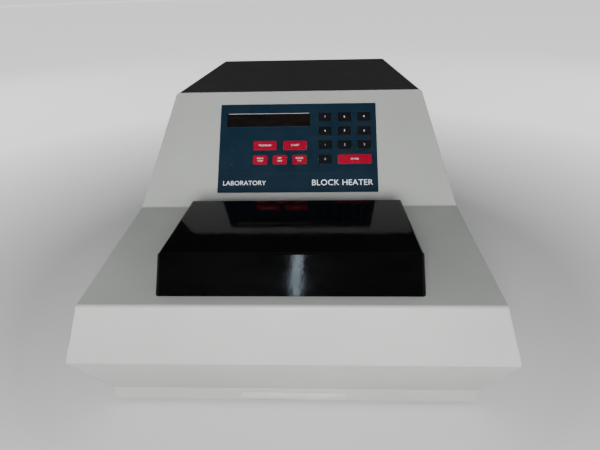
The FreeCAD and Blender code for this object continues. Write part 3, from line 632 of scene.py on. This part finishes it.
class HEATER_OT_lid(bpy.types.Operator):
    """Shape the polished lid as a folded shell with rounded sides, and its hinge lugs"""
    bl_idname = "heater.lid"
    bl_label = "Lid"

    crease_round = 1.6 * MM
    barrel_half, bore_half, bore_radius = 8 * MM, 10 * MM, 1.56 * MM
    arm_half, arm_inset, arm_depth = 7 * MM, 4.2 * MM, 2 * MM

    def execute(self, context):
        size = sizes()
        low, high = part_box("lid")
        crease = farthest("lid", (0, -0.2, 1))
        rear_top = farthest("lid", (0, 0.2, 1))
        rim = [vertex.co for vertex in frame["nodes"]["lid"].data.vertices
               if vertex.co.z < low.z + 0.1 * MM]
        rear = max(place.y for place in rim)
        shell = add_box("lid_shell", (low.x, low.y, low.z), (high.x, rear, crease.z))
        half_way = (low.y + rear) / 2
        for at_front, shift in ((True, (0, crease.y - low.y, 0)),
                                (False, (0, rear_top.y - rear, rear_top.z - crease.z))):
            select_parts(shell, "VERT", lambda vertex: vertex.co.z > crease.z - MM
                         and (vertex.co.y < half_way) == at_front)
            bpy.ops.transform.translate(value=shift)
            close_mesh()

        def is_on_top(edge):
            return edge_middle(edge).z > rear_top.z - MM

        def is_at_side(edge):
            rises = abs(edge.verts[0].co.z - edge.verts[1].co.z) > 10 * MM
            return abs(edge_middle(edge).x) > high.x - MM and (is_on_top(edge) or rises)

        bevel(shell, size.lid_round, 8, is_at_side)
        bevel(shell, self.crease_round, 4,
              lambda edge: lies_along(edge, (1, 0, 0)) and is_on_top(edge))
        select_parts(shell, "FACE", lambda face: face.normal.z < -0.99)
        bpy.ops.mesh.delete(type="FACE")
        close_mesh()
        modify(shell, "SOLIDIFY", thickness=size.lid_wall, offset=-1, use_even_offset=True)
        finished(shell, "lid", "lid_gloss", ["lid"], angle=30)
        self.make_lugs(high.y, rear)
        finished(self.make_pad(), "lid", "foam", ["lid_pad"])
        return {"FINISHED"}

    def make_lugs(self, barrel_back, rear):
        """A barrel with an arm into the lid's rear wall, bored for its pin, on either side."""
        pivot = Vector(joint("lid_hinge")["pos_m"])
        for side, name in ((-1, "left"), (1, "right")):
            middle = Vector((side * LUG_PLACE, pivot.y, pivot.z))
            half, bore_half = Vector((self.barrel_half, 0, 0)), Vector((self.bore_half, 0, 0))
            barrel = add_rod("barrel", barrel_back - pivot.y, middle - half, middle + half)
            bevel(barrel, 0.4 * MM, 2, lambda edge: not lies_along(edge, (1, 0, 0)))
            arm = add_box(
                "arm",
                (middle.x - self.arm_half, rear - self.arm_inset, pivot.z - self.arm_depth),
                (middle.x + self.arm_half, pivot.y, pivot.z + self.arm_depth))
            modify(barrel, "BOOLEAN", object=arm, operation="UNION", solver="EXACT")
            bpy.data.objects.remove(arm)
            carve(barrel, [add_rod("bore", self.bore_radius, middle - bore_half,
                                   middle + bore_half)])
            barrel.name = "lid_lug_" + name
            finished(barrel, "lid", "lid_gloss")

    def make_pad(self):
        pad = softened("lid_pad", 0.8 * MM)
        pad.name = "lid_foam_pad"
        return pad


class HEATER_OT_hinges(bpy.types.Operator):
    """Round the hinge brackets and the ends of their pins"""
    bl_idname = "heater.hinges"
    bl_label = "Hinges"

    pin_radius, pin_half = 1.5 * MM, 13 * MM

    def execute(self, context):
        finished(softened("hinge_brackets", 0.35 * MM, 2), "case", "sheet_steel",
                 ["hinge_brackets"])
        pins = []
        pivot = Vector(joint("lid_hinge")["pos_m"])
        for side in (-1, 1):
            start = Vector((side * LUG_PLACE - self.pin_half, pivot.y, pivot.z))
            pin = add_rod("pin", self.pin_radius, start,
                          start + Vector((2 * self.pin_half, 0, 0)), 32)
            bevel(pin, 0.5 * MM, 3, lambda edge: not lies_along(edge, (1, 0, 0)))
            pins.append(pin)
        finished(merge("hinge_pin_pair", pins), "case", "bright_steel", ["hinge_pins"])
        return {"FINISHED"}


# ------------------------------------------------------------------ keypad

def rounded_pad(name, low, high, corner, steps=6, grow=0.0):
    """A flat pad in the panel's own axes, with rounded corners."""
    spread = Vector((grow, grow, 0))
    pad = add_box(name, low - spread, high + spread)
    return bevel(pad, corner, steps, lambda edge: lies_along(edge, (0, 0, 1)))


def printed(text, size, across, up, out, align="CENTER"):
    """A word in thin print, in the panel's own axes."""
    deselect()
    bpy.ops.object.text_add(location=(across, up, out))
    word = bpy.context.object
    word.data.body = text
    word.data.size = size
    word.data.align_x = align
    word.data.align_y = "CENTER"
    word.data.extrude = HAIR / 2
    word.data.offset = -THINNING * size
    word.data.resolution_u = 3
    activate(word)
    bpy.ops.object.convert(target="MESH")
    return bake_place(bpy.context.object)


def key_names():
    return list(DIGIT_KEYS) + list(WORD_KEYS)


class HEATER_OT_keypad(bpy.types.Operator):
    """Cut the keypad film round its keys and window, and print its rule and name"""
    bl_idname = "heater.keypad"
    bl_label = "Keypad Film"

    cut_depth = Vector((0, 0, 3 * MM))
    window_gap = 0.1 * MM
    word_margin, word_line, title_size, subtitle_size = 5 * MM, 9.5 * MM, 8.4 * MM, 6.6 * MM
    rule_margin, rule_bottom, rule_top = 4 * MM, 19.2 * MM, 19.7 * MM

    def execute(self, context):
        size = sizes()
        low, high = panel_box("keypad_overlay")
        sheet = rounded_pad("keypad_film", low, high, FILM_CORNER)
        bevel(sheet, 0.2 * MM, 2, lambda edge: edge_middle(edge).z > high.z - HAIR)
        cutters = []
        for key in key_names():
            key_low, key_high = panel_box("key_" + key)
            cutters.append(rounded_pad("cutter", key_low - self.cut_depth,
                                       key_high + self.cut_depth, size.key_corner,
                                       grow=size.key_groove))
        window_low, window_high = panel_box("display_window")
        cutters.append(rounded_pad("cutter", window_low - self.cut_depth,
                                   window_high + self.cut_depth, FILM_CORNER,
                                   grow=self.window_gap))
        carve(sheet, cutters)
        self.print_marks(sheet, low, high)
        onto_panel(sheet)
        finished(sheet, "case", "overlay_film", ["keypad_overlay"], angle=25)
        self.raise_frames(high)
        return {"FINISHED"}

    def print_marks(self, sheet, low, high):
        paint_slots(sheet, ["overlay_film"])
        out = high.z + HAIR / 2
        line = low.y + self.word_line
        words = [printed("BLOCK HEATER", self.title_size, high.x - self.word_margin, line, out,
                         "RIGHT"),
                 printed("LABORATORY", self.subtitle_size, low.x + self.word_margin, line, out,
                         "LEFT")]
        rule = add_box("rule", (low.x + self.rule_margin, low.y + self.rule_bottom, high.z),
                       (high.x - self.rule_margin, low.y + self.rule_top, high.z + HAIR))
        for name, pieces, finish in (("keypad_print", words, "print"),
                                     ("keypad_rule", [rule], "faint_print")):
            marks = onto_panel(paint_slots(merge(name, pieces), [finish]))
            finished(marks, "case", "overlay_film")

    def raise_frames(self, film_high):
        """A thin embossed frame round every key and a lip round the window."""
        frames = [self.frame_piece("key_" + key, film_high.z, gap=0.75 * MM, width=0.45 * MM,
                                   height=0.16 * MM, corner=1.7 * MM) for key in key_names()]
        frames.append(self.frame_piece("display_window", film_high.z, gap=0.35 * MM,
                                       width=0.8 * MM, height=0.35 * MM, corner=1.0 * MM))
        piece = paint_slots(merge("keypad_embossing", frames), ["overlay_film"])
        onto_panel(piece)
        finished(piece, "case", "overlay_film", angle=60)

    def frame_piece(self, node, level, gap, width, height, corner):
        low, high = panel_box(node)
        outer = add_box("frame", (low.x - gap - width, low.y - gap - width, level - 0.2 * MM),
                        (high.x + gap + width, high.y + gap + width, level + height))
        bevel(outer, corner, 5, lambda edge: lies_along(edge, (0, 0, 1)))
        inner = add_box("cutter", (low.x - gap, low.y - gap, level - MM),
                        (high.x + gap, high.y + gap, level + MM))
        bevel(inner, corner - width / 2, 5, lambda edge: lies_along(edge, (0, 0, 1)))
        carve(outer, [inner])
        return bevel(outer, 0.12 * MM, 2, lambda edge: edge_middle(edge).z > level + height / 2
                     and edge.calc_face_angle(0) > 1)


class HEATER_OT_keys(bpy.types.Operator):
    """Make each key cap as a soft-cornered pad with its printed mark"""
    bl_idname = "heater.keys"
    bl_label = "Keys"

    single_word, line_space = 1.15, 1.25

    def execute(self, context):
        size = sizes()
        for key in DIGIT_KEYS:
            self.make_key(key, "key_black", [key], size.digit_size)
        for key, words in WORD_KEYS.items():
            text_size = size.word_size * (self.single_word if len(words) == 1 else 1.0)
            self.make_key(key, "key_red", words, text_size)
        return {"FINISHED"}

    def make_key(self, key, slot, lines, text_size):
        node = "key_" + key
        low, high = panel_box(node)
        cap = rounded_pad("cap_" + key, low, high, sizes().key_corner)
        bevel(cap, 0.28 * MM, 3, lambda edge: edge_middle(edge).z > high.z - HAIR)
        paint_slots(cap, [slot, "print"])
        middle = (low + high) / 2
        words = []
        for number, line in enumerate(lines):
            up = middle.y + ((len(lines) - 1) / 2 - number) * text_size * self.line_space
            words.append(printed(line, text_size, middle.x, up, high.z + HAIR / 2))
        marks = merge("marks", words)
        paint_slots(marks, ["print"])
        merge("cap_" + key, [cap, marks])
        onto_panel(cap)
        finished(cap, node, slot, [node], angle=40)


class HEATER_OT_display(bpy.types.Operator):
    """Make the display window with a painted highlight along its upper edge, and the domed indicator lamps"""
    bl_idname = "heater.display"
    bl_label = "Display"

    def execute(self, context):
        low, high = panel_box("display_window")
        pane = rounded_pad("display_pane", low, high, FILM_CORNER)
        bevel(pane, 0.15 * MM, 2, lambda edge: edge_middle(edge).z > high.z - HAIR)
        onto_panel(pane)
        finished(pane, "case", "smoked_window", ["display_window"])
        # Painted highlight: a thin raised strip in pale polished grey along the window's top edge stands in for
        # the light caught by that edge.
        edge = add_box("window_highlight_strip", (low.x + 1 * MM, high.y - 0.5 * MM, high.z - 0.1 * MM),
                       (high.x - 1 * MM, high.y - 0.05 * MM, high.z + 0.2 * MM))
        bevel(edge, 0.1 * MM, 2, lambda side: lies_along(side, (1, 0, 0)))
        onto_panel(paint_slots(edge, ["window_highlight_strip"]))
        finished(edge, "case", "smoked_window")
        low, high = panel_box("status_leds")
        radius = (high.x - low.x) / 2
        lamps = []
        for up in (low.y + radius, high.y - radius):
            lamp = add_rod("lamp", radius, ((low.x + high.x) / 2, up, low.z),
                           ((low.x + high.x) / 2, up, high.z), 24)
            bevel(lamp, 0.25 * MM, 3, lambda edge: edge_middle(edge).z > high.z - HAIR
                  and not lies_along(edge, (0, 0, 1)))
            lamps.append(lamp)
        piece = onto_panel(merge("indicator_lamps", lamps))
        finished(piece, "case", "indicator", ["status_leds"])
        return {"FINISHED"}


# ------------------------------------------------------------------ heated chamber

class HEATER_OT_chamber(bpy.types.Operator):
    """Round the block edges and the chamber rim, and finish what lies under them"""
    bl_idname = "heater.chamber"
    bl_label = "Chamber and Blocks"

    def execute(self, context):
        for side in ("left", "right"):
            node = "tube_block_" + side
            finished(softened(node, 0.5 * MM, 2, angle=40, shortest=8 * MM), node, "block_metal",
                     [node])
        finished(softened("chamber_liner", 0.3 * MM, 2, shortest=8 * MM), "case", "sheet_steel",
                 ["chamber_liner"])
        return {"FINISHED"}


# ------------------------------------------------------------------ rear panel

class HEATER_OT_rear_panel(bpy.types.Operator):
    """Round the mouldings of the inlet, switch, fuse drawer and reset button"""
    bl_idname = "heater.rear_panel"
    bl_label = "Rear Panel"

    def execute(self, context):
        for node, body, slot, width in (
                ("power_inlet", "case", "black_plastic", 0.45 * MM),
                ("switch_housing", "case", "black_plastic", 0.45 * MM),
                ("fuse_drawer", "fuse_drawer", "black_plastic", 0.35 * MM),
                ("power_rocker", "power_rocker", "black_plastic", 0.5 * MM),
                ("reset_bush", "case", "black_plastic", 0.3 * MM),
                ("inlet_pins", "case", "bright_steel", 0.35 * MM),
                ("fan_frame", "case", "black_plastic", 0.4 * MM),
                ("fan_rotor", "fan_rotor", "black_plastic", 0.25 * MM)):
            finished(softened(node, width, 2, angle=35, shortest=1 * MM), body, slot, [node])
        self.make_reset_button()
        self.make_guard()
        return {"FINISHED"}

    def make_reset_button(self):
        low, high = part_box("reset_button")
        middle = (low + high) / 2
        button = add_rod("reset_cap", (high.x - low.x) / 2, (middle.x, low.y, middle.z),
                         (middle.x, high.y, middle.z), 40)
        bevel(button, 0.7 * MM, 4, lambda edge: edge_middle(edge).y > high.y - HAIR)
        finished(button, "reset_button", "red_plastic", ["reset_button"])

    def make_guard(self):
        low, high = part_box("fan_guard")
        middle = (low + high) / 2
        wire, ring_margin, ring_step, ring_count = 1.0 * MM, 2 * MM, 8 * MM, 4
        outer = (high.x - low.x) / 2 - ring_margin
        rings = []
        for number in range(ring_count):
            deselect()
            bpy.ops.mesh.primitive_torus_add(
                major_radius=outer - number * ring_step, minor_radius=wire * 0.98,
                major_segments=96, minor_segments=10, location=middle,
                rotation=(math.radians(90), 0, 0))
            rings.append(bake_place(bpy.context.object))
        reach_out = (high.x - low.x) / 2 - HAIR
        for way in (Vector((reach_out, 0, 0)), Vector((0, 0, reach_out))):
            rings.append(add_rod("bar", wire * 0.85, middle - way, middle + way, 12))
        finished(merge("guard_wires", rings), "case", "bright_steel", ["fan_guard"])


class HEATER_OT_fasteners(bpy.types.Operator):
    """Make the case screws with crossed recesses and the dished rubber feet"""
    bl_idname = "heater.fasteners"
    bl_label = "Screws and Feet"

    def execute(self, context):
        self.make_screws()
        self.make_feet()
        return {"FINISHED"}

    def islands(self, node):
        """The box of each separate solid in a node, always in the same order."""
        mesh = bmesh.new()
        mesh.from_mesh(frame["nodes"][node].data)
        bmesh.ops.remove_doubles(mesh, verts=mesh.verts, dist=WELD)
        left = set(mesh.verts)
        boxes = []
        while left:
            todo = [left.pop()]
            found = []
            while todo:
                vertex = todo.pop()
                found.append(vertex.co.copy())
                for edge in vertex.link_edges:
                    other = edge.other_vert(vertex)
                    if other in left:
                        left.remove(other)
                        todo.append(other)
            boxes.append((Vector(map(min, zip(*found))), Vector(map(max, zip(*found)))))
        mesh.free()
        return sorted(boxes, key=lambda box: tuple(box[0]))

    def make_screws(self):
        head, head_radius = 1.8 * MM, 3.2 * MM
        shank_radius, shank_length, short_screw = 1.5 * MM, 4 * MM, 6 * MM
        slot_half, slot_width, slot_floor = 2 * MM, 0.35 * MM, -head * 0.45
        pattern = add_rod("screw", head_radius, (0, 0, -head), (0, 0, 0), 40)
        bevel(pattern, 0.9 * MM, 5, lambda edge: edge_middle(edge).z < -head + HAIR)
        slots = [add_box("cutter", (-x, -y, -2 * head), (x, y, slot_floor))
                 for x, y in ((slot_half, slot_width), (slot_width, slot_half))]
        for slot in slots:
            carve(pattern, [slot])
        shank = add_rod("shank", shank_radius, (0, 0, 0), (0, 0, shank_length), 24)
        pattern = merge("screw", [pattern, shank])
        screws = []
        for low, high in self.islands("case_screws"):
            copied = copy_of(pattern, "screw_copy")
            middle = (low + high) / 2
            upright = (high.x - low.x) - (high.y - low.y) < HAIR and high.z - low.z < short_screw
            if upright:
                copied.location = (middle.x, middle.y, low.z + head)
            else:
                copied.rotation_euler = (math.radians(90), 0, 0)
                copied.location = (middle.x, high.y - head, middle.z)
            screws.append(bake_place(copied))
        bpy.data.objects.remove(pattern)
        finished(merge("screw_set", screws), "case", "bright_steel", ["case_screws"])

    def make_feet(self):
        dish_rim, dish_depth = 4 * MM, 1 * MM
        feet = []
        for low, high in self.islands("rubber_feet"):
            middle = (low + high) / 2
            foot = add_rod("foot", (high.x - low.x) / 2, (middle.x, middle.y, low.z),
                           (middle.x, middle.y, high.z), 48)
            bevel(foot, 1.2 * MM, 4, lambda edge: edge_middle(edge).z < low.z + HAIR)
            select_parts(foot, "FACE", lambda face: face.normal.z < -0.99)
            bpy.ops.mesh.inset(thickness=dish_rim)
            bpy.ops.transform.translate(value=(0, 0, dish_depth))
            close_mesh()
            feet.append(foot)
        finished(merge("feet_set", feet), "case", "rubber", ["rubber_feet"])


# ------------------------------------------------------------------ hidden works

class HEATER_OT_works(bpy.types.Operator):
    """Round the metal parts inside the case, from the transformer to the heater plate"""
    bl_idname = "heater.works"
    bl_label = "Works"

    def execute(self, context):
        for node, slot in (("transformer", "sheet_steel"), ("heat_sink", "block_metal"),
                           ("chassis_plate", "sheet_steel"), ("chamber_brackets", "sheet_steel"),
                           ("heater_plate", "block_metal")):
            finished(softened(node, 0.4 * MM, 2, shortest=4 * MM), "case", slot, [node])
        return {"FINISHED"}


class HEATER_OT_carried(bpy.types.Operator):
    """Give every node that keeps its own shape the finish of its slot"""
    bl_idname = "heater.carried"
    bl_label = "Carried Nodes"

    def execute(self, context):
        slots = {part["node"]: part["material_slot"] for part in frame["record"]["subparts"]}
        for node, piece in frame["nodes"].items():
            if piece.hide_render:
                continue
            for place in piece.material_slots:
                place.material = finishes[slots[node]]
        return {"FINISHED"}


# ------------------------------------------------------------------ stage

class HEATER_OT_stage(bpy.types.Operator):
    """Set the pale floor, the soft lights and the camera"""
    bl_idname = "heater.stage"
    bl_label = "Stage"

    camera_place = Vector((21 * MM, -481 * MM, 309 * MM))
    yaw, pitch, roll = -2.57, 27.4, -1.42
    lens = 28.8
    case_middle = Vector((0, -0.05, 0.1))
    lid_middle = Vector((0, -0.2, 0.125))
    lights = (                # name, place, width, watts
        ("left_light", (-1.5, 0.1, 0.7), 0.9, 2),
        ("right_light", (1.5, 0.1, 0.7), 0.9, 2),
        ("back_light_left", (-1.15, 1.0, 0.8), 0.8, 4),
        ("back_light_right", (1.15, 1.0, 0.8), 0.8, 4),
    )
    floor_width, floor_drop = 24, 0.0002
    wall_radius, wall_height, wall_middle = 9, 6, 2.9

    def execute(self, context):
        self.make_floor()
        self.make_world(context.scene)
        self.make_camera(context.scene)
        self.make_light("key_light", (0.0, -0.88, 0.34), self.case_middle, 0.3, 11.5)
        self.make_light("top_light", (0.0, 0.5, 1.7), self.case_middle, 1.4, 1.5)
        self.make_light("lamp", (-0.03, -0.778, 0.612), self.lid_middle, 0.022, 0.4, 0.15)
        bpy.data.lights["lamp"].color = (0.72, 0.86, 1.0)
        for name, place, width, watts in self.lights:
            self.make_light(name, place, self.case_middle, width, watts)
        return {"FINISHED"}

    def make_floor(self):
        """A floor painted darker near the object as painted shade and paler away from it, where it also glows
        softly, and a wall far round it that is pale on the user's side and dark behind, so the black hood has
        something dark to mirror.
        The wall's foot is as pale as the floor, so no edge shows where they meet."""
        deselect()
        bpy.ops.mesh.primitive_plane_add(size=self.floor_width,
                                         location=(0, 0, -self.floor_drop))
        floor = bpy.context.object
        floor.name = "floor"
        made = self.pale("pale_floor")
        away = made.node("ShaderNodeVectorMath", {0: made.place}, operation="LENGTH")
        # Painted shade: the floor's colour is darker near the object and paler away from it.
        away = made.ramp(away.outputs["Value"], 0.3, 0.8)
        made.colour(made.tint(away, (0.58, 0.58, 0.58), (0.82, 0.82, 0.82)))
        made.tree.links.new(made.ramp(away, 0, 1, 0.01, 0.95),
                            made.shader.inputs["Emission Strength"])
        floor.data.materials.append(made.material)
        deselect()
        bpy.ops.mesh.primitive_cylinder_add(
            vertices=96, radius=self.wall_radius, depth=self.wall_height,
            end_fill_type="NOTHING", location=(0, 0, self.wall_middle))
        wall = bpy.context.object
        wall.name = "wall"
        made = self.pale("pale_wall")
        across = made.node("ShaderNodeSeparateXYZ", {"Vector": made.place}).outputs
        behind = made.ramp(across["Y"], -3, 3)
        made.colour(made.tint(behind, (0.8, 0.8, 0.8), (0.03, 0.03, 0.03)))
        foot = made.ramp(across["Z"], -2.6, -2.4, 1, 0)
        glow = made.node("ShaderNodeMath", {0: made.ramp(behind, 0, 1, 0.45, 0.02), 1: foot},
                         operation="MAXIMUM")
        made.tree.links.new(glow.outputs["Value"], made.shader.inputs["Emission Strength"])
        wall.data.materials.append(made.material)

    def pale(self, name):
        made = Finish(name, Specular_IOR_Level=0.1)
        made.shader.inputs["Emission Color"].default_value = (1, 1, 1, 1)
        made.colour(made.tint(made.noise(3), (0.80, 0.80, 0.80), (0.84, 0.84, 0.84)))
        made.roughness(made.noise(8), 0.8, 0.9)
        return made

    def make_world(self, scene):
        scene.world = bpy.data.worlds.new("studio")
        scene.world.use_nodes = True
        backdrop = scene.world.node_tree.nodes["Background"]
        backdrop.inputs["Color"].default_value = (0.9, 0.93, 1.0, 1)
        backdrop.inputs["Strength"].default_value = 0.06

    def make_light(self, name, place, target, size, power, height=None):
        lamp = bpy.data.lights.new(name, "AREA")
        lamp.shape = "RECTANGLE"
        lamp.size = size
        lamp.size_y = height or size
        lamp.energy = power
        holder = bpy.data.objects.new(name, lamp)
        bpy.context.scene.collection.objects.link(holder)
        holder.location = place
        holder.rotation_euler = (target - Vector(place)).to_track_quat("-Z", "Y").to_euler()

    def make_camera(self, scene):
        yaw, pitch, roll = (math.radians(angle) for angle in (self.yaw, self.pitch, self.roll))
        ahead = Vector((math.sin(yaw) * math.cos(pitch), math.cos(yaw) * math.cos(pitch),
                        -math.sin(pitch)))
        right = Vector((math.cos(yaw), -math.sin(yaw), 0))
        up = right.cross(ahead)
        turned_right = right * math.cos(roll) + up * math.sin(roll)
        turned_up = up * math.cos(roll) - right * math.sin(roll)
        camera = bpy.data.cameras.new("camera")
        camera.lens = self.lens
        camera.sensor_width = 36
        holder = bpy.data.objects.new("camera", camera)
        scene.collection.objects.link(holder)
        axes = Matrix((turned_right, turned_up, -ahead)).transposed().to_4x4()
        holder.matrix_world = Matrix.Translation(self.camera_place) @ axes
        scene.camera = holder


# ------------------------------------------------------------------ add-on

PIECE_OPERATORS = (
    HEATER_OT_housing, HEATER_OT_label, HEATER_OT_lid, HEATER_OT_hinges, HEATER_OT_keypad,
    HEATER_OT_keys, HEATER_OT_display, HEATER_OT_chamber, HEATER_OT_rear_panel,
    HEATER_OT_fasteners, HEATER_OT_works, HEATER_OT_carried, HEATER_OT_stage,
)


class HEATER_PT_panel(bpy.types.Panel):
    """Lists the operators that build the block heater"""
    bl_idname = "HEATER_PT_panel"
    bl_label = "Block Heater"
    bl_space_type = "VIEW_3D"
    bl_region_type = "UI"
    bl_category = "Block Heater"

    def draw(self, context):
        for operator in PIECE_OPERATORS:
            self.layout.operator(operator.bl_idname)
        for group in (context.scene.heater_sizes, context.scene.heater_colours):
            for name in group.__annotations__:
                self.layout.prop(group, name)


CLASSES = (HeaterSizes, HeaterColours, *PIECE_OPERATORS, HEATER_PT_panel)


def register():
    for item in CLASSES:
        bpy.utils.register_class(item)
    bpy.types.Scene.heater_sizes = bpy.props.PointerProperty(type=HeaterSizes)
    bpy.types.Scene.heater_colours = bpy.props.PointerProperty(type=HeaterColours)


def unregister():
    del bpy.types.Scene.heater_colours
    del bpy.types.Scene.heater_sizes
    for item in reversed(CLASSES):
        bpy.utils.unregister_class(item)


def main():
    register()
    finishes.update(make_finishes())
    for operator in PIECE_OPERATORS:
        group, name = operator.bl_idname.split(".")
        getattr(getattr(bpy.ops, group), name)()
    deselect()


if __name__ == "__main__":
    main()
